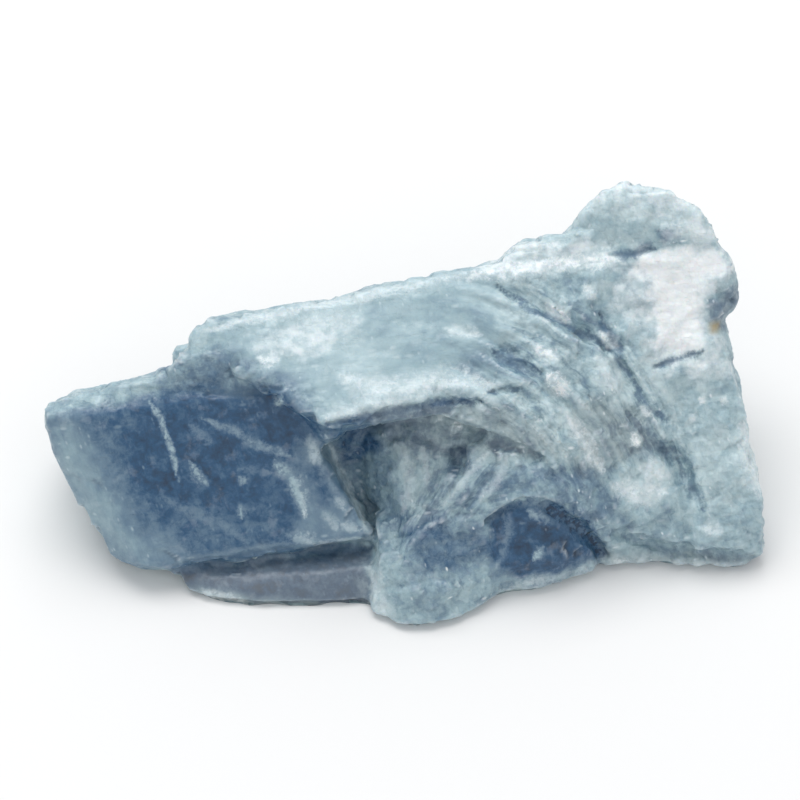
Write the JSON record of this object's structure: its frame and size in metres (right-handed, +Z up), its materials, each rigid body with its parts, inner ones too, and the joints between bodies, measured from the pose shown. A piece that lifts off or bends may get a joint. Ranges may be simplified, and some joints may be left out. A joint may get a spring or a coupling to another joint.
{
  "type": "calcite chunk",
  "caption": "Raw chunk of blue calcite: a deep blue cleavage rhomb, a pale slab that folds down over a hollow in curved ridges, a rounded peak, and a flat face to rest on.",
  "frame": {"origin": "on the resting plane, under the middle of the chunk's bounding box", "axes": "+X along the chunk from the blue rhomb to the peak, +Y from the front to the stepped back, +Z up"},
  "size_m": [0.06, 0.029, 0.027],
  "materials": {
    "calcite": "satin"
  },
  "bodies": {
    "root": {"calcite_chunk": "calcite"}
  },
  "joints": []
}
